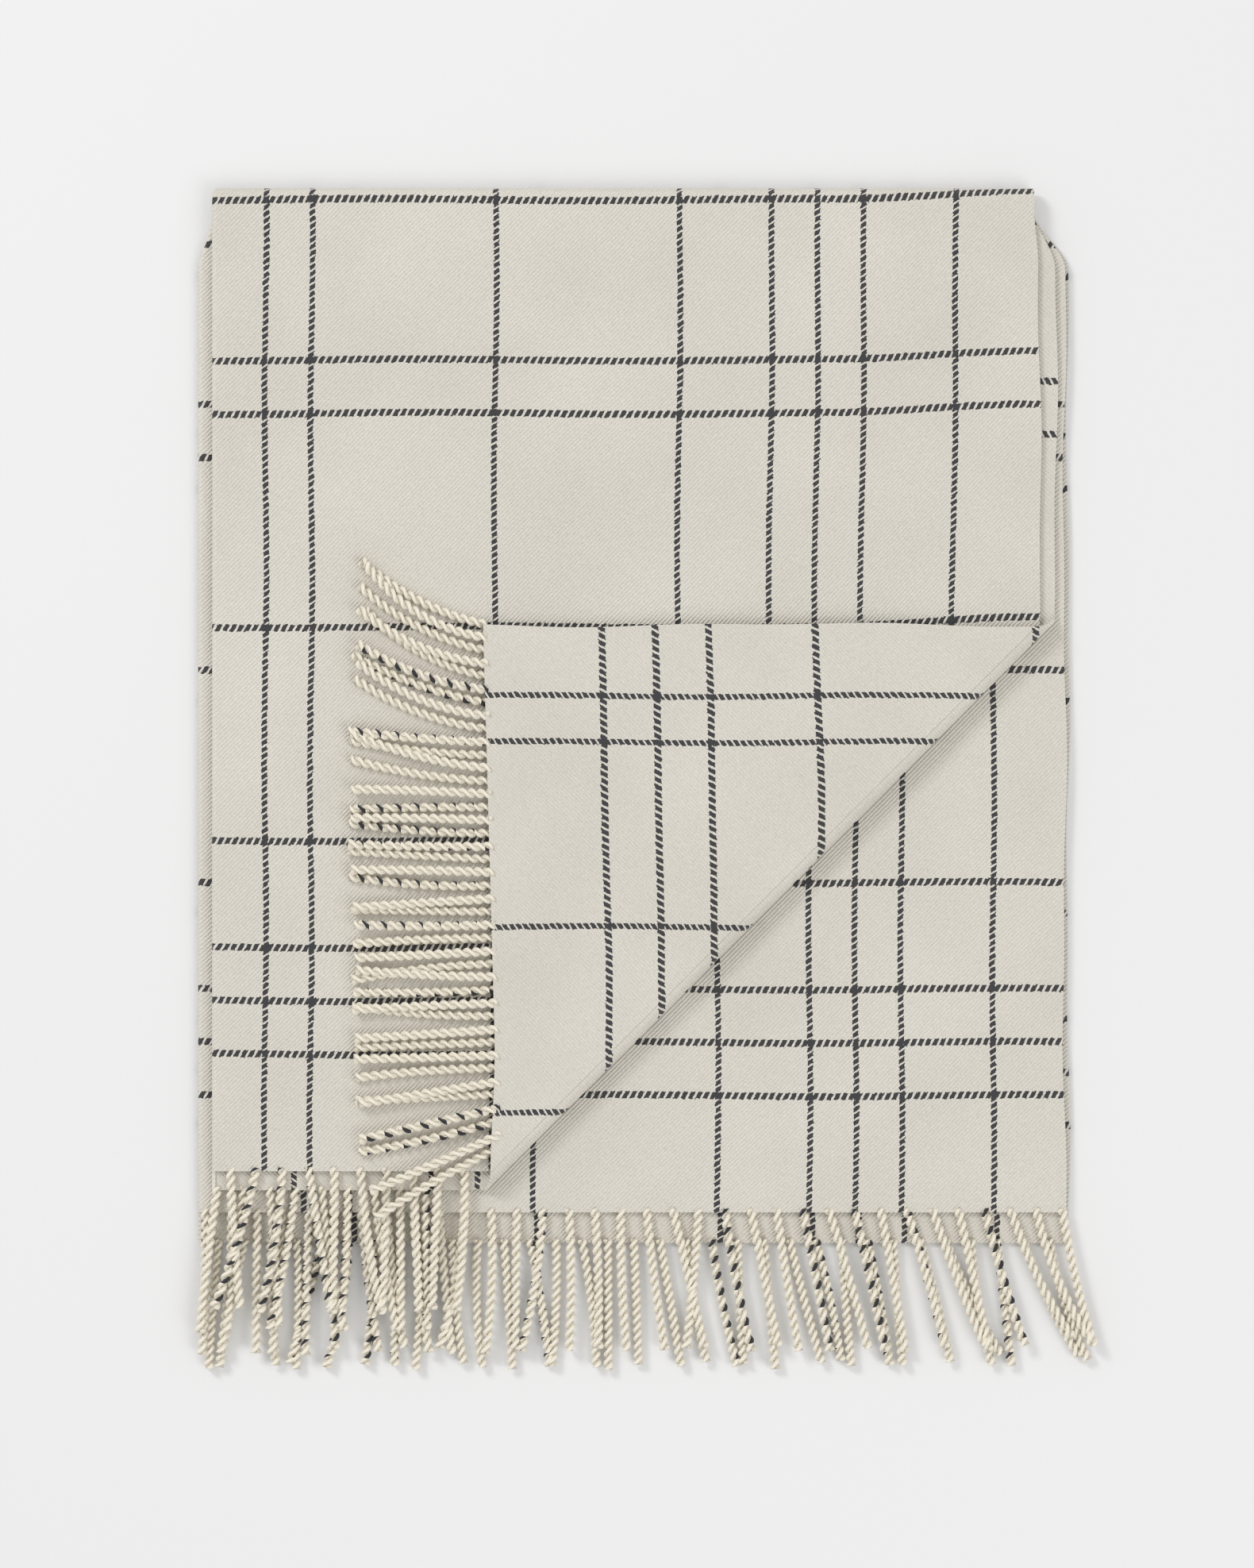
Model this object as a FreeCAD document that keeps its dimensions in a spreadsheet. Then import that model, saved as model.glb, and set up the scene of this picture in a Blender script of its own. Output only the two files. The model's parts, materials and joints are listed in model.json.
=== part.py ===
import FreeCAD, Part
import math
import os

import Sketcher

# Folded woolen throw, lying flat. +Z is up, +Y runs towards the main fold and -Y towards the fringe.
# The throw is folded in half across its width, then in half along its length, so four layers lie on each
# other: a lower half and an upper half of two layers each. The upper half opens about the main fold, and its
# corner is turned back along a 45 degree line.
# Origin: the centre of the whole outline, on the surface the throw lies on. Sizes are in millimetres.

doc = FreeCAD.newDocument("folded_throw")

SIZES = {
    "overall_width": 675.2,  # from the lower side fold to the bottom layer's free edge
    "overall_length": 909.0,  # from the main fold to the fringe tips
    "fringe_length": 119.0,
    "layer_thickness": 4.0,  # lofty brushed cloth as it lies, with the air in its nap
    "layer_gap": 0.4,
    "upper_side_inset": 11.6,  # the upper side fold lies this far inside the lower one
    "lower_inner_inset": 3.0,  # free long edges, inside the bottom layer's
    "upper_inner_inset": 10.4,
    "top_inset": 23.2,
    "lower_inner_step": 1.0,  # fringed ends, inside the bottom layer's
    "upper_inner_step": 18.5,
    "top_step": 33.5,
    "corner_leg": 450.5,  # how far the corner fold starts from the second layer's corner, along both edges
    "flap_inset": 39.5,  # how much shorter the turned corner's straight edges are, the rest being in its bend
    "roll_clearance": 0.3,
    "tassel_diameter": 6.0,
    "tassel_spacing": 20.0,
}

sheet = doc.addObject("Spreadsheet::Sheet", "Sizes")
for row, (name, value) in enumerate(SIZES.items(), start=1):
    sheet.set(f"A{row}", name)
    sheet.set(f"B{row}", str(value))
    sheet.setAlias(f"B{row}", name)
doc.recompute()


def term(text):
    """An expression in which every size's name stands for its cell."""
    for name in SIZES:
        text = text.replace(name, f"<<Sizes>>.{name}")
    return f"({text})"


def number(expression):
    return float(sheet.evalExpression(expression))


# Places shared by several pieces, as expressions.
THICK = term("layer_thickness")
PITCH = term("layer_thickness + layer_gap")
LOWER_LEFT = term("-overall_width / 2 + layer_thickness + layer_gap / 2")
UPPER_LEFT = f"({LOWER_LEFT} + {term('upper_side_inset')})"
RIGHT = term("overall_width / 2")
END = term("fringe_length - overall_length / 2")
PAIR_RADIUS = term("layer_thickness + layer_gap / 2")
STACK_RADIUS = term("2 * layer_thickness + 1.5 * layer_gap")
MAIN_FOLD = f"({term('overall_length / 2')} - {STACK_RADIUS})"
HINGE_HEIGHT = term("4 * layer_thickness + 3.5 * layer_gap")
# Both folds that open bend two layers, and the layers stop a little before the bend.
CUT_DISTANCE = f"({STACK_RADIUS} + {term('roll_clearance')})"
PANEL_TOP = f"({MAIN_FOLD} - {CUT_DISTANCE})"
# The corner fold runs where x - y has this value.
HINGE_OFFSET = f"({RIGHT} - {END} - {term('upper_inner_inset + upper_inner_step + corner_leg')})"
CUT_OFFSET = f"({HINGE_OFFSET} - {CUT_DISTANCE} * sqrt(2))"

LAYERS = {  # the left end, the free long edge, the fringed end and the height of each layer's underside
    "bottom_panel": (LOWER_LEFT, RIGHT, END, "0"),
    "lower_inner_panel": (
        LOWER_LEFT,
        f"({RIGHT} - {term('lower_inner_inset')})",
        f"({END} + {term('lower_inner_step')})",
        PITCH,
    ),
    "upper_inner_panel": (
        UPPER_LEFT,
        f"({RIGHT} - {term('upper_inner_inset')})",
        f"({END} + {term('upper_inner_step')})",
        f"(2 * {PITCH})",
    ),
    "top_panel": (
        UPPER_LEFT,
        f"({RIGHT} - {term('top_inset')})",
        f"({END} + {term('top_step')})",
        f"(3 * {PITCH})",
    ),
}
# The turned corner lies on the top layer with its two layers' edges flush. Its hem faces -X.
FLAP_LEG = term("corner_leg - flap_inset")
FLAP_DIFFERENCE = f"({CUT_OFFSET} - {FLAP_LEG})"  # x - y at the flap's tip
TIP_SHIFT = f"({LAYERS['top_panel'][1]} + {LAYERS['top_panel'][2]})"
FLAP_LEFT = f"(({TIP_SHIFT} + {FLAP_DIFFERENCE}) / 2)"
FLAP_TOP = f"(({TIP_SHIFT} - {FLAP_DIFFERENCE}) / 2)"


def place(thing, x, y, z):
    for axis, expression in (("x", x), ("y", y), ("z", z)):
        thing.setExpression(f"Placement.Base.{axis}", expression)


def closed_sketch(body, points):
    """A sketch of straight lines through the points, with its first corner on the body's origin."""
    sketch = body.newObject("Sketcher::SketchObject", f"{body.Name}_outline")
    plane = next(f for f in body.Origin.OriginFeatures if f.Role == "XY_Plane")
    sketch.AttachmentSupport = [(plane, "")]
    sketch.MapMode = "FlatFace"
    corners = [FreeCAD.Vector(x, y, 0) for x, y in points]
    for here, there in zip(corners, corners[1:] + corners[:1]):
        sketch.addGeometry(Part.LineSegment(here, there), False)
    for line in range(len(corners)):
        sketch.addConstraint(Sketcher.Constraint("Coincident", line, 2, (line + 1) % len(corners), 1))
    sketch.addConstraint(Sketcher.Constraint("Coincident", 0, 1, -1, 1))
    return sketch


def drive(sketch, kind, line, expression):
    """Ties a line's length along X or Y to an expression."""
    index = sketch.addConstraint(Sketcher.Constraint(kind, line, 1, line, 2, abs(number(expression))))
    sketch.setExpression(f"Constraints[{index}]", expression)


def pad(body, sketch):
    feature = body.newObject("PartDesign::Pad", f"{body.Name}_pad")
    feature.Profile = sketch
    feature.setExpression("Length", THICK)
    body.Tip = feature


def whole_panel(name):
    left, right, end, height = LAYERS[name]
    body = doc.addObject("PartDesign::Body", name)
    body.Label = name
    width, length = f"{right} - {left}", f"{PANEL_TOP} - {end}"
    w, l = number(width), number(length)
    sketch = closed_sketch(body, [(0, 0), (w, 0), (w, l), (0, l)])
    for line, kind in enumerate(("Horizontal", "Vertical", "Horizontal", "Vertical")):
        sketch.addConstraint(Sketcher.Constraint(kind, line))
    drive(sketch, "DistanceX", 0, width)
    drive(sketch, "DistanceY", 1, length)
    pad(body, sketch)
    place(body, left, end, height)
    return body


def cut_panel(name):
    """A layer whose corner is turned back: it ends just before the corner fold."""
    left, right, end, height = LAYERS[name]
    body = doc.addObject("PartDesign::Body", name)
    body.Label = name
    hem = f"{CUT_OFFSET} + {end} - {left}"
    across, along = f"{right} - {left} - ({hem})", f"{PANEL_TOP} - ({right} - {CUT_OFFSET})"
    h, a, s = number(hem), number(across), number(along)
    sketch = closed_sketch(body, [(0, 0), (h, 0), (h + a, a), (h + a, a + s), (0, a + s)])
    for line, kind in ((0, "Horizontal"), (2, "Vertical"), (3, "Horizontal"), (4, "Vertical")):
        sketch.addConstraint(Sketcher.Constraint(kind, line))
    drive(sketch, "DistanceX", 0, hem)
    drive(sketch, "DistanceX", 1, across)
    drive(sketch, "DistanceY", 1, across)
    drive(sketch, "DistanceY", 2, along)
    pad(body, sketch)
    place(body, left, end, height)
    return body


def flap_panel(name, level):
    """One layer of the turned corner: a right triangle whose long side faces the corner fold."""
    body = doc.addObject("PartDesign::Body", name)
    body.Label = name
    leg = FLAP_LEG
    size = number(leg)
    sketch = closed_sketch(body, [(0, 0), (size, size), (0, size)])
    sketch.addConstraint(Sketcher.Constraint("Horizontal", 1))
    sketch.addConstraint(Sketcher.Constraint("Vertical", 2))
    sketch.addConstraint(Sketcher.Constraint("Equal", 1, 2))
    index = sketch.addConstraint(Sketcher.Constraint("DistanceY", 0, 1, 2, 1, size))
    sketch.setExpression(f"Constraints[{index}]", leg)
    pad(body, sketch)
    height = f"{HINGE_HEIGHT} + {term('layer_gap / 2')} + {level} * {PITCH}"
    place(body, FLAP_LEFT, f"{FLAP_TOP} - {leg}", height)
    return body


def tube(name, outer, inner, length, where, turn, angle):
    """A tube or half tube along its own Z, made as one cylinder cut out of another."""
    sides = []
    for role, radius, sweep in (("outer", outer, angle), ("inner", inner, 360)):
        cylinder = doc.addObject("Part::Cylinder", f"{name}_{role}")
        cylinder.Angle = sweep
        cylinder.Placement = FreeCAD.Placement(FreeCAD.Vector(), turn)
        cylinder.setExpression("Radius", radius)
        cylinder.setExpression("Height", length)
        place(cylinder, *where)
        sides.append(cylinder)
    cut = doc.addObject("Part::Cut", name)
    cut.Label = name
    cut.Base, cut.Tool = sides
    return cut


def core(name, radius, length, where, turn):
    cylinder = doc.addObject("Part::Cylinder", name)
    cylinder.Label = name
    cylinder.Placement = FreeCAD.Placement(FreeCAD.Vector(), turn)
    cylinder.setExpression("Radius", radius)
    cylinder.setExpression("Height", length)
    place(cylinder, *where)
    return cylinder


def axes(x, y, z):
    return FreeCAD.Rotation(FreeCAD.Vector(*x), FreeCAD.Vector(*y), FreeCAD.Vector(*z), "ZXY")


def fringe(name, starts, towards):
    """A row of tassels as separate straight solids, each beginning at a hem."""
    radius, length = number(term("tassel_diameter / 2")), number(term("fringe_length"))
    rods = [Part.makeCylinder(radius, length, FreeCAD.Vector(*at), towards) for at in starts]
    row = doc.addObject("Part::Feature", name)
    row.Label = name
    row.Shape = Part.makeCompound(rods)
    row.Placement = FreeCAD.Placement()
    return row


# Layers that stay, from the bottom up.
nodes = [whole_panel(name) for name in ("bottom_panel", "lower_inner_panel")]
nodes += [cut_panel(name) for name in ("upper_inner_panel", "top_panel")]

# Side folds: each joins two layers along the left, as half a tube along Y.
ALONG_Y = axes((0, 0, -1), (-1, 0, 0), (0, 1, 0))
HALF_GAP = term("layer_gap / 2")
for name, left, end, height in (
    ("lower_side_fold", LOWER_LEFT, LAYERS["lower_inner_panel"][2], PAIR_RADIUS),
    ("upper_side_fold", UPPER_LEFT, LAYERS["top_panel"][2], f"{PAIR_RADIUS} + 2 * {PITCH}"),
):
    length = f"{PANEL_TOP} - {end}"
    nodes.append(tube(name, PAIR_RADIUS, HALF_GAP, length, (left, end, height), ALONG_Y, 180))


def roll(name, length, where, turn):
    """The two layers where they bend at a fold that opens, full round so that they clear at every angle."""
    inside = core(f"{name}_core", PAIR_RADIUS, length, where, turn)
    outer_bore = f"({PAIR_RADIUS} + {term('layer_gap')})"
    return [inside, tube(f"{name}_outer", STACK_RADIUS, outer_bore, length, where, turn, 360)]


# The main fold runs along X at the far end, as wide as the top layer.
hem_y, edge_x = LAYERS["top_panel"][2], LAYERS["top_panel"][1]
ALONG_X = axes((0, 0, -1), (0, 1, 0), (1, 0, 0))
nodes += roll("main_roll", f"{edge_x} - {UPPER_LEFT}", (UPPER_LEFT, MAIN_FOLD, STACK_RADIUS), ALONG_X)

# The corner fold reaches from the top layer's hem to its free edge.
half = math.sqrt(0.5)
ALONG_FOLD = axes((0, 0, 1), (half, -half, 0), (half, half, 0))
roll_start = (f"{HINGE_OFFSET} + {hem_y}", hem_y, HINGE_HEIGHT)
nodes += roll("corner_roll", f"({edge_x} - {HINGE_OFFSET} - {hem_y}) * sqrt(2)", roll_start, ALONG_FOLD)

FLAP = ("corner_flap_under", "corner_flap_face")
nodes += [flap_panel(name, level) for level, name in enumerate(FLAP)]

# Fringe: the tassels of neighbouring layers are half a spacing apart, so they lie between each other.
spacing, radius = number(term("tassel_spacing")), number(term("tassel_diameter / 2"))
hinge_offset, cut_offset = number(HINGE_OFFSET), number(CUT_OFFSET)
hinge_height, pitch = number(HINGE_HEIGHT), number(PITCH)
row_start = number(UPPER_LEFT) + radius
flap_left, flap_top = number(FLAP_LEFT), number(FLAP_TOP)
flap_low = flap_top - number(FLAP_LEG)


def row_places(shift, low, high):
    """Tassel places along a hem, counted from one shared start, that keep a tassel's radius from both ends."""
    first = row_start + shift * spacing
    count = int((high - low) / spacing) + 4
    places = [first + (k - 1) * spacing for k in range(count + int(abs(low - first) / spacing) + 1)]
    return [p for p in places if low + radius <= p <= high - radius]


fringe_z = {
    "bottom_panel": radius,
    "lower_inner_panel": pitch + radius,
    "upper_inner_panel": 2 * pitch + radius,
    "top_panel": 3 * pitch + radius,
}
FRINGES = {
    "bottom_fringe": ("bottom_panel", 0),
    "lower_inner_fringe": ("lower_inner_panel", 0.5),
    "upper_inner_fringe": ("upper_inner_panel", 0),
    "top_fringe": ("top_panel", 0.5),
}
LOWER_ROWS = ("bottom_fringe", "lower_inner_fringe")
for name, (panel, shift) in FRINGES.items():
    left, right, end, _ = (number(value) for value in LAYERS[panel])
    reach = right if name in LOWER_ROWS else cut_offset + end - radius
    starts = [(x, end, fringe_z[panel]) for x in row_places(shift, left, reach)]
    nodes.append(fringe(name, starts, FreeCAD.Vector(0, -1, 0)))

# The flap's tassels keep the places of their rows, so they fall between the others when it is laid flat.
flap_z = {
    "flap_fringe_under": (0.5, hinge_height + number(HALF_GAP) + radius),
    "flap_fringe_face": (0, 2 * hinge_height - fringe_z["upper_inner_panel"]),
}
for name, (shift, height) in flap_z.items():
    rows = row_places(shift, flap_low + hinge_offset, flap_top + hinge_offset)
    starts = [(flap_left, x - hinge_offset, height) for x in rows]
    nodes.append(fringe(name, starts, FreeCAD.Vector(-1, 0, 0)))

doc.recompute()

for thing in doc.Objects:
    if "Invalid" in thing.State or "Error" in thing.State:
        raise RuntimeError(f"{thing.Label} failed: {thing.State}")
for node in nodes:
    if node.Shape.isNull() or not node.Shape.isValid():
        raise RuntimeError(f"{node.Label} has no valid shape")

os.makedirs("parts", exist_ok=True)
for node in nodes:
    node.Shape.exportStep(f"parts/{node.Label}.step")

# Figures that the record repeats.
print("main fold", round(number(MAIN_FOLD), 3), round(number(STACK_RADIUS), 3))
print("hinge offset", round(hinge_offset, 3), "height", round(hinge_height, 3))
print("flap left", round(flap_left, 3), "top", round(flap_top, 3))
box = Part.makeCompound([node.Shape for node in nodes]).BoundBox
print("box", [round(v, 2) for v in (box.XMin, box.XMax, box.YMin, box.YMax, box.ZMin, box.ZMax)])
print("tassels", {node.Label: len(node.Shape.Solids) for node in nodes if "fringe" in node.Label})
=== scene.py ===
import json
import math

import bmesh
import bpy
import numpy as np
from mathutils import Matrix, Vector


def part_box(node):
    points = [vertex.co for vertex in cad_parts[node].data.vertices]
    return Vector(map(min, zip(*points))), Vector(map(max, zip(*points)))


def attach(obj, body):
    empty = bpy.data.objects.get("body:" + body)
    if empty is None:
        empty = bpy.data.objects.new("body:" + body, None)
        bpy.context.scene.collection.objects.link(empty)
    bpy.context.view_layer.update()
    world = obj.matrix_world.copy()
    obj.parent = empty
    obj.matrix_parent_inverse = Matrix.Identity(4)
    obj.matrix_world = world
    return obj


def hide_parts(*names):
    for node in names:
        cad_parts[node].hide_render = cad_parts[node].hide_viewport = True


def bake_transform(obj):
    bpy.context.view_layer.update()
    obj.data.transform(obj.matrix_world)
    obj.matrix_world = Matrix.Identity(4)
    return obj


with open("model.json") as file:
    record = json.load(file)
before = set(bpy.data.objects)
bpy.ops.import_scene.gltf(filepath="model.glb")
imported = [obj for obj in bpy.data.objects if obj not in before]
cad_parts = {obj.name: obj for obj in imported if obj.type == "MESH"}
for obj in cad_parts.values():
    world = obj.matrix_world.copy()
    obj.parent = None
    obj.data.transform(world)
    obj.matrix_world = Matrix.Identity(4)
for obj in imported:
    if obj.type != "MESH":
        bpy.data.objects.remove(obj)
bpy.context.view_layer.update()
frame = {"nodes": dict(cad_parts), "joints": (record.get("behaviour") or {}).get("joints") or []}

# Every layer's place comes from the CAD panels, except the bottom hem below.
# A point of the flat cloth is mapped to its folded place in code.
LAYERS = ("bottom_panel", "lower_inner_panel", "upper_inner_panel", "top_panel")
BOTTOM, LOWER_INNER, UPPER_INNER, TOP = range(4)
BOXES = [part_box(name) for name in LAYERS]
LEFT = [low.x for low, high in BOXES]
RIGHT = [high.x for low, high in BOXES]
HEM = [low.y for low, high in BOXES]
HEIGHT = [(low.z + high.z) / 2 for low, high in BOXES]
PITCH = HEIGHT[1] - HEIGHT[0]
# The bottom layer's hem is drawn lower than its CAD panel's, so that it shows between the tassels above it.
BOTTOM_SHOWS = 0.023
HEM[BOTTOM] -= BOTTOM_SHOWS
STACK_MIDDLE = (HEIGHT[BOTTOM] + HEIGHT[TOP]) / 2
MAIN_BEND_START = BOXES[BOTTOM][1].y
JOINTS = {joint["name"]: Vector(joint["pos_m"]) for joint in frame["joints"]}
MAIN_FOLD = JOINTS["main_fold"].y
CORNER = JOINTS["corner_turnback"]
HINGE_OFFSET = CORNER.x - CORNER.y
ROOT_HALF = math.sqrt(0.5)

CLOTH = 0.0026
CELL = 0.007
SIDE_CURL = PITCH / 2
GATHER = 0.045
SWELL = 0.35
FLAP_SKEW = 0.028
DRIFT = 0.012
RISE = 0.008
RISE_REACH = 0.16
FLAP_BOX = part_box("corner_flap_face")
FLAP_MIDDLE_Y = (FLAP_BOX[0].y + FLAP_BOX[1].y) / 2

# The check: line spacing, and where the first lines lie from selvedge A, selvedge B and the hem.
# The lower layers carry selvedge A's order, a little nearer their edge.
WARP_UNIT = 0.0354
WEFT_UNIT = 0.041
FIRST_A = 0.065
FIRST_B = 0.056
FIRST_WEFT = 0.090
REPEAT_A = (2, 1, 1, 2, 4, 4, 1, 3)
REPEAT_B = (1, 4, 4, 2, 1, 1, 2, 3)
REPEAT_WEFT = (1, 1, 2, 4, 4, 1, 3, 2)
LOWER_SHIFT = 0.0085
WARP_REACH = 0.68
WEFT_REACH = 0.84
WARP_HALF = 0.0022
WEFT_HALF = 0.0027
TWILL = 0.0034

rng = np.random.default_rng(7)


def smooth(t):
    """A soft step from 0 to 1."""
    t = np.clip(t, 0, 1)
    return t * t * (3 - 2 * t)


def side_edge(layer, y):
    """Where a layer's side fold lies. The layers draw together towards the main fold."""
    together = smooth((y - MAIN_BEND_START + GATHER) / GATHER)
    return LEFT[layer] + (LEFT[TOP] - LEFT[layer]) * together


def free_edge(layer, y):
    """Where a layer's free edge lies, a little wavy, drawing together towards the main fold."""
    together = smooth((y - MAIN_BEND_START + GATHER) / GATHER)
    wave = 0.0012 * np.sin(17 * y + 1.3 * layer) + 0.0007 * np.sin(41 * y + layer)
    return RIGHT[layer] - 0.0015 + (RIGHT[TOP] - RIGHT[layer] - 0.004) * together + wave * (1 - together)


def fold_radius(layer):
    """How far a layer's middle is from the main fold's axis."""
    return PITCH * (1.5 if layer in (BOTTOM, TOP) else 0.5)


def lifted(points):
    """Gives the stack its soft unevenness, in proportion to height."""
    x, y, z = points[:, 0], points[:, 1], points[:, 2]
    swell = 0.10 * np.sin(9 * x + 5 * y) + 0.06 * np.sin(21 * x - 13 * y + 1) + 0.04 * np.sin(33 * y + 8 * x)
    points[:, 2] = z * (1 + SWELL * swell)
    return points


def turned(layer, x, y, z):
    """Turns the part of an upper layer that lies past the corner fold back over the top layer."""
    radius = CORNER.z - HEIGHT[layer]
    past = (x - y - HINGE_OFFSET) * ROOT_HALF
    angle = np.clip(past / radius, 0, math.pi)
    back = np.maximum(past - math.pi * radius, 0)
    out = np.where(past > 0, radius * np.sin(angle) - back, past)
    height = np.where(past > 0, CORNER.z - radius * np.cos(angle), z)
    shift = (out - past) * ROOT_HALF
    new_x, new_y = x + shift, y - shift
    new_x = new_x + FLAP_SKEW * (FLAP_MIDDLE_Y - new_y) * smooth(back / 0.08)
    return new_x, new_y, height


def folded(layer, x, y):
    """The folded place of points of a layer's flat cloth."""
    upper = layer in (UPPER_INNER, TOP)
    outer = layer in (BOTTOM, TOP)
    left = side_edge(layer, y)
    curl = np.clip((left + SIDE_CURL - x) / SIDE_CURL, 0, math.pi / 2)
    depth = SIDE_CURL * (1 - np.cos(curl)) * (1 if outer else -1)
    place_x = np.where(curl > 0, left + SIDE_CURL - SIDE_CURL * np.sin(curl), x)
    radius = fold_radius(layer)
    bend = np.clip((y - MAIN_FOLD) / radius, 0, math.pi / 2)
    place_y = np.where(y > MAIN_FOLD, MAIN_FOLD + (radius - depth) * np.sin(bend), y)
    place_z = STACK_MIDDLE + (1 if upper else -1) * (radius - depth) * np.cos(bend)
    if upper:
        place_x, place_y, place_z = turned(layer, place_x, place_y, place_z)
    return lifted(np.stack([place_x, place_y, place_z], 1))


def along_steps(layer):
    """The rows of a layer's grid, from the main fold's outermost line down to the hem."""
    radius = fold_radius(layer)
    bend = list(MAIN_FOLD + radius * np.linspace(math.pi / 2, 0, 9))
    flat = list(np.linspace(MAIN_FOLD, MAIN_BEND_START, 4)[1:])
    count = int((MAIN_BEND_START - HEM[layer]) / CELL)
    return bend + flat + list(np.linspace(MAIN_BEND_START, HEM[layer], count + 1)[1:])


def layer_mesh(layer):
    """The flat cloth of one layer, cut along the lines where the corner fold bends."""
    rows = along_steps(layer)
    shares = np.linspace(0, 1, int((RIGHT[layer] - LEFT[layer]) / CELL) + 1)
    curls = SIDE_CURL * np.linspace(math.pi / 2, 0, 5)[:-1]
    mesh = bmesh.new()
    grid = []
    for y in rows:
        left = float(side_edge(layer, y)) + SIDE_CURL
        right = float(free_edge(layer, y))
        across = [left - curl for curl in curls] + [left + (right - left) * share for share in shares]
        grid.append([mesh.verts.new((x, y, 0)) for x in across])
    for above, below in zip(grid, grid[1:]):
        for k in range(len(above) - 1):
            mesh.faces.new((above[k], below[k], below[k + 1], above[k + 1]))
    if layer in (UPPER_INNER, TOP):
        reach = math.pi * (CORNER.z - HEIGHT[layer])
        for distance in np.linspace(0, reach, 11):
            offset = HINGE_OFFSET + distance / ROOT_HALF
            geometry = mesh.verts[:] + mesh.edges[:] + mesh.faces[:]
            line = {"plane_co": (offset, 0, 0), "plane_no": (1, -1, 0)}
            bmesh.ops.bisect_plane(mesh, geom=geometry, dist=1e-6, **line)
    return mesh


def cloth_distance(layer, x, y):
    """How far a flat point is from the free edge and from the hem. Edge B is told apart by its sign."""
    across = RIGHT[layer] - x
    if layer in (LOWER_INNER, BOTTOM):
        across = across + LOWER_SHIFT
    along = y - HEM[layer]
    if layer == TOP:
        share = (x - LEFT[TOP]) / (RIGHT[TOP] - LEFT[TOP])
        across = across - DRIFT * share * (MAIN_FOLD - y)
        along = along - RISE * smooth(1 - (RIGHT[TOP] - x) / RISE_REACH)
    wobble = 0.0008 * np.sin(23 * y + 7 * x)
    return (-1 if layer == UPPER_INNER else 1) * (across + wobble), along + 0.0008 * np.sin(19 * x + 5 * y)


def part_of(layer, face):
    """Which piece a face of the flat cloth belongs to."""
    centre = face.calc_center_median()
    if centre.y > MAIN_BEND_START:
        return "main_bend"
    if layer in (UPPER_INNER, TOP):
        past = (centre.x - centre.y - HINGE_OFFSET) * ROOT_HALF
        if past > math.pi * (CORNER.z - HEIGHT[layer]):
            return "corner_face" if layer == UPPER_INNER else "corner_under"
        if past > 0:
            return "corner_bend"
        return "upper_cloth"
    return "lower_cloth"


PIECES = ("lower_cloth", "upper_cloth", "main_bend", "corner_bend", "corner_face", "corner_under")
built = {name: {"points": [], "faces": [], "uv": []} for name in PIECES}
for layer in range(4):
    flat = layer_mesh(layer)
    flat.verts.ensure_lookup_table()
    flat.verts.index_update()
    xy = np.array([vert.co[:2] for vert in flat.verts])
    places = folded(layer, xy[:, 0], xy[:, 1])
    across, along = cloth_distance(layer, xy[:, 0], xy[:, 1])
    index = {name: {} for name in PIECES}
    for face in flat.faces:
        name = part_of(layer, face)
        store = built[name]
        corners = []
        for vert in face.verts:
            if vert.index not in index[name]:
                index[name][vert.index] = len(store["points"])
                store["points"].append(places[vert.index])
            corners.append(index[name][vert.index])
            store["uv"].append((across[vert.index], along[vert.index]))
        store["faces"].append(corners)
    flat.free()


def cloth_piece(name, weld):
    """One piece of cloth, with its places on the flat cloth kept on the mesh."""
    store = built[name]
    mesh = bpy.data.meshes.new(name)
    mesh.from_pydata([tuple(p) for p in store["points"]], [], store["faces"])
    cloth_places = mesh.uv_layers.new(name="cloth")
    cloth_places.data.foreach_set("uv", np.array(store["uv"], float).ravel())
    if weld:
        work = bmesh.new()
        work.from_mesh(mesh)
        bmesh.ops.remove_doubles(work, verts=work.verts, dist=3e-5)
        bmesh.ops.recalc_face_normals(work, faces=work.faces)
        work.to_mesh(mesh)
        work.free()
    mesh.shade_smooth()
    piece = bpy.data.objects.new(name, mesh)
    bpy.context.collection.objects.link(piece)
    thick = piece.modifiers.new("cloth thickness", "SOLIDIFY")
    thick.thickness = CLOTH
    thick.offset = 0
    crisp = piece.modifiers.new("crisp rim", "EDGE_SPLIT")
    crisp.split_angle = math.radians(60)
    return piece


def node(tree, kind, **inputs):
    """A shader node with some of its inputs set."""
    made = tree.nodes.new(kind)
    for key, value in inputs.items():
        made.inputs[key].default_value = value
    return made


def maths(tree, operation, *values):
    """A maths node fed by sockets or by fixed numbers."""
    made = tree.nodes.new("ShaderNodeMath")
    made.operation = operation
    for k, value in enumerate(values):
        if isinstance(value, (int, float)):
            made.inputs[k].default_value = value
        else:
            tree.links.new(value, made.inputs[k])
    return made.outputs[0]


def line_places(first, unit, repeat, reach):
    """Distances of the check's lines from an edge."""
    places = [first]
    gap = 0
    while places[-1] + repeat[gap % len(repeat)] * unit < reach:
        places.append(places[-1] + repeat[gap % len(repeat)] * unit)
        gap += 1
    return places


def any_line(tree, distance, places, half):
    """1 on the check's lines and 0 elsewhere."""
    total = None
    for place in places:
        hit = maths(tree, "COMPARE", distance, place, half)
        total = hit if total is None else maths(tree, "MAXIMUM", total, hit)
    return total


def dashes(tree, first, second, lean, pitch, threshold, loose):
    """Slanted dashes along a line, made irregular by a noise around 0."""
    slanted = maths(tree, "ADD", first, maths(tree, "MULTIPLY", second, lean))
    phase = maths(tree, "MULTIPLY", slanted, math.tau / pitch)
    wave = maths(tree, "ADD", maths(tree, "SINE", phase), maths(tree, "MULTIPLY", loose, 1.6))
    return maths(tree, "GREATER_THAN", wave, threshold)


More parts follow.
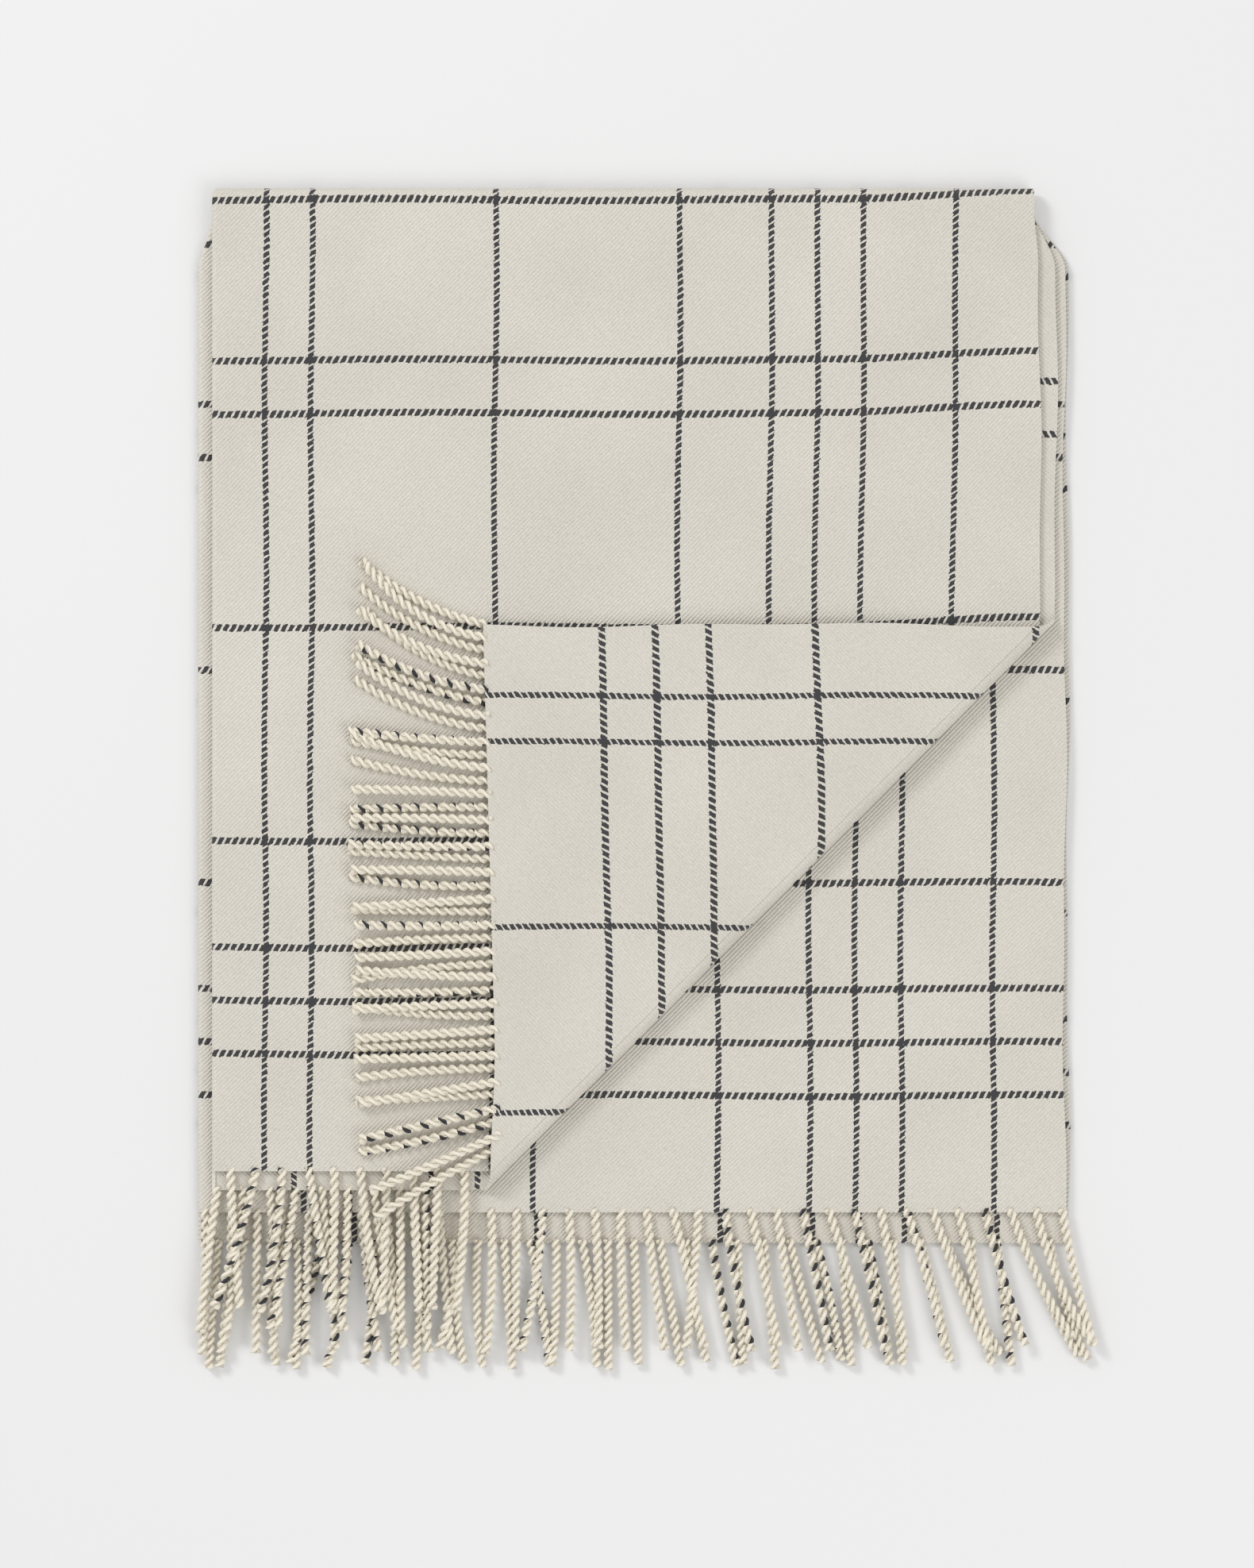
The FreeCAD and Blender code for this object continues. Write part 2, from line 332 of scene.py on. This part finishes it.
CREAM = (0.785, 0.75, 0.675, 1)
CREAM_WARM = (0.64, 0.60, 0.525, 1)
CHARCOAL = (0.03, 0.03, 0.036, 1)


def wool(name):
    """An empty wool material, its surface node and its tree."""
    material = bpy.data.materials.new(name)
    material.use_nodes = True
    tree = material.node_tree
    surface = tree.nodes["Principled BSDF"]
    surface.inputs["Roughness"].default_value = 0.95
    surface.inputs["Sheen Weight"].default_value = 0.2
    surface.inputs["Sheen Roughness"].default_value = 0.6
    surface.inputs["Specular IOR Level"].default_value = 0.15
    return material, surface, tree


def checked_wool():
    """Cream twill with charcoal windowpane lines, drawn from the cloth distances."""
    material, surface, tree = wool("checked_wool")
    uv = tree.nodes.new("ShaderNodeUVMap")
    uv.uv_map = "cloth"
    split = tree.nodes.new("ShaderNodeSeparateXYZ")
    tree.links.new(uv.outputs[0], split.inputs[0])
    across, along = split.outputs[0], split.outputs[1]
    grain = node(tree, "ShaderNodeTexNoise", Scale=420.0, Detail=2.0)
    tree.links.new(uv.outputs[0], grain.inputs["Vector"])
    loose = maths(tree, "SUBTRACT", grain.outputs[0], 0.5)
    ragged = maths(tree, "MULTIPLY", loose, 0.0032)
    rough_across = maths(tree, "ADD", across, ragged)
    rough_along = maths(tree, "ADD", along, ragged)
    places = line_places(FIRST_A, WARP_UNIT, REPEAT_A, WARP_REACH)
    places += [-p for p in line_places(FIRST_B, WARP_UNIT, REPEAT_B, WARP_REACH)]
    warp = any_line(tree, rough_across, places, WARP_HALF)
    weft = any_line(tree, rough_along, line_places(FIRST_WEFT, WEFT_UNIT, REPEAT_WEFT, WEFT_REACH), WEFT_HALF)
    warp_dash = maths(tree, "MULTIPLY", warp, dashes(tree, along, across, 0.6, 0.0052, -0.62, loose))
    weft_dash = maths(tree, "MULTIPLY", weft, dashes(tree, across, along, 0.5, 0.0056, -0.5, loose))
    crossing = maths(tree, "MULTIPLY", warp, weft)
    dark = maths(tree, "MAXIMUM", maths(tree, "MAXIMUM", warp_dash, weft_dash), crossing)
    shade = node(tree, "ShaderNodeTexNoise", Scale=9.0, Detail=3.0)
    tree.links.new(uv.outputs[0], shade.inputs["Vector"])
    cream = node(tree, "ShaderNodeMix")
    cream.data_type = "RGBA"
    cream.inputs[6].default_value = CREAM
    cream.inputs[7].default_value = CREAM_WARM
    twill = maths(tree, "SINE", maths(tree, "MULTIPLY", maths(tree, "ADD", across, along), math.tau / TWILL))
    ribs = maths(tree, "ADD", maths(tree, "MULTIPLY", twill, 0.22), maths(tree, "MULTIPLY", loose, 0.7))
    blend = maths(tree, "ADD", maths(tree, "MULTIPLY", shade.outputs[0], 0.9), ribs)
    tree.links.new(blend, cream.inputs[0])
    both = node(tree, "ShaderNodeMix")
    both.data_type = "RGBA"
    both.inputs[7].default_value = CHARCOAL
    tree.links.new(maths(tree, "MULTIPLY", dark, 0.97), both.inputs[0])
    tree.links.new(cream.outputs[2], both.inputs[6])
    tree.links.new(both.outputs[2], surface.inputs["Base Color"])
    fuzz = node(tree, "ShaderNodeTexNoise", Scale=900.0, Detail=2.0)
    tree.links.new(uv.outputs[0], fuzz.inputs["Vector"])
    height = maths(tree, "ADD", maths(tree, "MULTIPLY", twill, 0.5), fuzz.outputs[0])
    bump = node(tree, "ShaderNodeBump", Strength=0.9, Distance=0.0007)
    tree.links.new(height, bump.inputs["Height"])
    tree.links.new(bump.outputs[0], surface.inputs["Normal"])
    return material


def yarn(name, colour):
    """Plain yarn with a fibrous bump."""
    material, surface, tree = wool(name)
    place = tree.nodes.new("ShaderNodeTexCoord")
    fibres = node(tree, "ShaderNodeTexNoise", Scale=700.0, Detail=2.0)
    tree.links.new(place.outputs["Object"], fibres.inputs["Vector"])
    mix = node(tree, "ShaderNodeMix")
    mix.data_type = "RGBA"
    mix.inputs[6].default_value = colour
    mix.inputs[7].default_value = tuple(0.86 * part for part in colour[:3]) + (1,)
    tree.links.new(fibres.outputs[0], mix.inputs[0])
    tree.links.new(mix.outputs[2], surface.inputs["Base Color"])
    bump = node(tree, "ShaderNodeBump", Strength=0.5, Distance=0.0003)
    tree.links.new(fibres.outputs[0], bump.inputs["Height"])
    tree.links.new(bump.outputs[0], surface.inputs["Normal"])
    return material


CHECKED = checked_wool()
FRINGE = yarn("twisted_fringe", (0.92, 0.86, 0.73, 1))
DARK_YARN = yarn("charcoal_yarn", CHARCOAL)

pieces = {}
for name in PIECES:
    pieces[name] = cloth_piece(name, weld=name in ("lower_cloth", "upper_cloth", "main_bend"))
    pieces[name].data.materials.append(CHECKED)

HEIGHT_OF_FLAP = {layer: 2 * CORNER.z - HEIGHT[layer] for layer in (UPPER_INNER, TOP)}

# The tassels. Their starting places along the hem are read from the CAD tassels.
TASSEL = 0.119
PLY_OFFSET = 0.0018
PLY = 0.0021
TWIST = 0.016
DARK_REACH = 0.008
DARK_CHANCE = 0.05
HIDDEN_END = 0.012
RINGS = 56
FRINGE_LIMIT = 0.358
FRINGE_LIMIT_LEFT = 0.345
SIDES = 6


def tassel_starts(name, axis):
    """Where the CAD tassels of a fringe lie along their hem."""
    values = np.array([vert.co[axis] for vert in frame["nodes"][name].data.vertices])
    values = np.sort(values)
    groups = np.split(values, np.where(np.diff(values) > 0.002)[0] + 1)
    return [float(group.mean()) for group in groups]


def tassel_line(start, heading, lean, curve, length, rest):
    """A tassel's middle line. It leans and curves in plan, and settles from the hem onto what it lies on."""
    steps = np.linspace(0, 1, RINGS)
    angle = heading + lean + curve * steps
    step = length / (RINGS - 1)
    x = start[0] + np.concatenate([[0], np.cumsum(np.cos(angle[:-1]) * step)])
    y = start[1] + np.concatenate([[0], np.cumsum(np.sin(angle[:-1]) * step)])
    z = rest + (start[2] - rest) * np.exp(-steps * length / 0.02)
    return np.stack([x, y, z], 1), angle


def add_tassel(store, line, angle, dark):
    """Two twisted plies around a middle line. Dark tassels carry charcoal marks on one side of a ply."""
    side = np.stack([-np.sin(angle), np.cos(angle), np.zeros(RINGS)], 1)
    up = np.tile([0.0, 0.0, 1.0], (RINGS, 1))
    run = np.linspace(0, 1, RINGS)
    turn = math.tau * run * TASSEL / TWIST + rng.uniform(0, math.tau)
    thick = 1 + 0.25 * smooth((run - 0.93) / 0.07)
    for ply in range(2):
        phase = turn + ply * math.pi
        centre = line + PLY_OFFSET * (np.cos(phase)[:, None] * side + np.sin(phase)[:, None] * up)
        first = len(store["points"])
        for ring in range(RINGS):
            for corner in range(SIDES):
                around = math.tau * corner / SIDES + phase[ring]
                out = math.cos(around) * side[ring] + math.sin(around) * up[ring]
                store["points"].append(tuple(centre[ring] + PLY * thick[ring] * out))
        for ring in range(RINGS - 1):
            marked = dark and ply == 0 and ring % 7 < 3
            for corner in range(SIDES):
                here = first + ring * SIDES + corner
                beside = first + ring * SIDES + (corner + 1) % SIDES
                store["faces"].append((here, beside, beside + SIDES, here + SIDES))
                store["marks"].append(1 if marked and corner in (0, 1, 5) else 0)
        for end in (first, first + (RINGS - 1) * SIDES):
            ring = tuple(range(end, end + SIDES))
            store["faces"].append(ring if end != first else ring[::-1])
            store["marks"].append(0)


def stripe_near(layer, distance):
    """Whether a tassel starts near a charcoal line."""
    first, repeat = (FIRST_B, REPEAT_B) if layer == UPPER_INNER else (FIRST_A, REPEAT_A)
    shift = LOWER_SHIFT if layer in (LOWER_INNER, BOTTOM) else 0
    lines = line_places(first, WARP_UNIT, repeat, WARP_REACH)
    return any(abs(distance + shift - line) < DARK_REACH for line in lines)


def fringe(name, layer, flap, rest):
    """All the tassels of one hem as one piece."""
    store = {"points": [], "faces": [], "marks": []}
    starts = tassel_starts(name, 1 if flap else 0)
    low, high = min(starts), max(starts)
    hem_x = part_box(name)[1].x
    for place in starts:
        share = (place - low) / (high - low)
        jitter = rng.normal(0, 0.05)
        if flap:
            x = hem_x + FLAP_SKEW * (FLAP_MIDDLE_Y - place)
            start = (x + 0.003, place, HEIGHT_OF_FLAP[layer])
            heading = math.pi
            lean = -0.16 * float(smooth((share - 0.62) / 0.38)) + 0.08 * (1 - share) + jitter
            lean += 0.45 * float(smooth((0.10 - share) / 0.10))
            curve = -0.70 * float(smooth((share - 0.62) / 0.38)) + 0.12 * rng.normal()
            distance = FLAP_BOX[1].y - place
        else:
            start = (place, HEM[layer] + 0.003, HEIGHT[layer])
            heading = -math.pi / 2
            right_share = (place - LEFT[layer]) / (RIGHT[layer] - LEFT[layer])
            to_right = 0.20 * float(smooth((right_share - 0.35) / 0.3))
            to_left = 0.1 * float(smooth((0.15 - right_share) / 0.15))
            lean = to_right - to_left
            lean += (2.6 if layer == BOTTOM else 1.4) * jitter
            curve = 0.12 * rng.normal() + 0.35 * float(smooth((right_share - 0.85) / 0.15))
            room = math.asin(min(0.9, max(0.05, (FRINGE_LIMIT - place) / TASSEL)))
            lean = min(lean, room - curve / 2)
            room_left = math.asin(min(0.9, max(0.02, (FRINGE_LIMIT_LEFT + place) / TASSEL)))
            lean = max(lean, -room_left - curve / 2)
            distance = RIGHT[layer] - place
        length = (TASSEL - 0.006) * rng.uniform(0.95, 1.0) - (HIDDEN_END if layer == BOTTOM else 0)
        line, angle = tassel_line(start, heading, lean, curve, length, rest)
        line = lifted(line)
        line[:, 2] = np.maximum(line[:, 2], 0.0047)
        add_tassel(store, line, angle, stripe_near(layer, distance) or rng.random() < DARK_CHANCE)
    mesh = bpy.data.meshes.new(name + "_yarn")
    mesh.from_pydata(store["points"], [], store["faces"])
    mesh.materials.append(FRINGE)
    mesh.materials.append(DARK_YARN)
    mesh.polygons.foreach_set("material_index", store["marks"])
    mesh.shade_smooth()
    made = bpy.data.objects.new(name + "_yarn", mesh)
    bpy.context.collection.objects.link(made)
    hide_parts(name)
    return made


ROWS = (
    ("bottom_fringe", BOTTOM, False, 0.0048, "lower_half"),
    ("lower_inner_fringe", LOWER_INNER, False, 0.0085, "lower_half"),
    ("upper_inner_fringe", UPPER_INNER, False, 0.0125, "upper_half"),
    ("top_fringe", TOP, False, 0.0165, "upper_half"),
    ("flap_fringe_under", TOP, True, 0.0205, "corner_flap"),
    ("flap_fringe_face", UPPER_INNER, True, 0.0245, "corner_flap"),
)
fringes = {}
for name, layer, flap, rest, body in ROWS:
    fringes[name] = fringe(name, layer, flap, rest)
    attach(fringes[name], body)

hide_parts("bottom_panel", "lower_inner_panel", "lower_side_fold")
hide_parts("upper_inner_panel", "top_panel", "upper_side_fold")
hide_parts("main_roll_core", "main_roll_outer")
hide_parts("corner_roll_core", "corner_roll_outer")
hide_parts("corner_flap_face")
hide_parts("corner_flap_under")
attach(pieces["lower_cloth"], "lower_half")
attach(pieces["upper_cloth"], "upper_half")
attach(pieces["corner_face"], "corner_flap")
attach(pieces["corner_under"], "corner_flap")
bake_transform(pieces["main_bend"])
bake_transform(pieces["corner_bend"])

# The floor, the light and the camera.
bpy.ops.mesh.primitive_plane_add(size=12, location=(0, 0, -0.0005))
floor = bpy.context.object
floor.name = "floor"
paper, paper_surface, paper_tree = wool("backdrop")
paper_surface.inputs["Base Color"].default_value = (0.80, 0.80, 0.80, 1)
paper_surface.inputs["Sheen Weight"].default_value = 0
floor.data.materials.append(paper)

world = bpy.data.worlds.new("studio")
bpy.context.scene.world = world
world.use_nodes = True
world.node_tree.nodes["Background"].inputs["Color"].default_value = (1, 1, 1, 1)
world.node_tree.nodes["Background"].inputs["Strength"].default_value = 0.71


def lamp(name, place, size, power):
    """A soft square light aimed at the middle of the throw."""
    light = bpy.data.lights.new(name, "AREA")
    light.size = size
    light.energy = power
    holder = bpy.data.objects.new(name, light)
    holder.location = place
    holder.rotation_euler = Vector(place).to_track_quat("Z", "Y").to_euler()
    bpy.context.collection.objects.link(holder)
    return holder


lamp("key light", (-3.2, 3.0, 3.8), 1.6, 112)
lamp("fill light", (2.6, -2.2, 3.4), 3.0, 56)

camera = bpy.data.cameras.new("camera")
camera.lens = 100
camera.sensor_width = 36
camera.sensor_fit = "AUTO"
holder = bpy.data.objects.new("camera", camera)
holder.location = (-0.004, -0.0046, 0.015 + 3.3465)
bpy.context.collection.objects.link(holder)
bpy.context.scene.camera = holder
bpy.context.scene.view_settings.view_transform = "Standard"
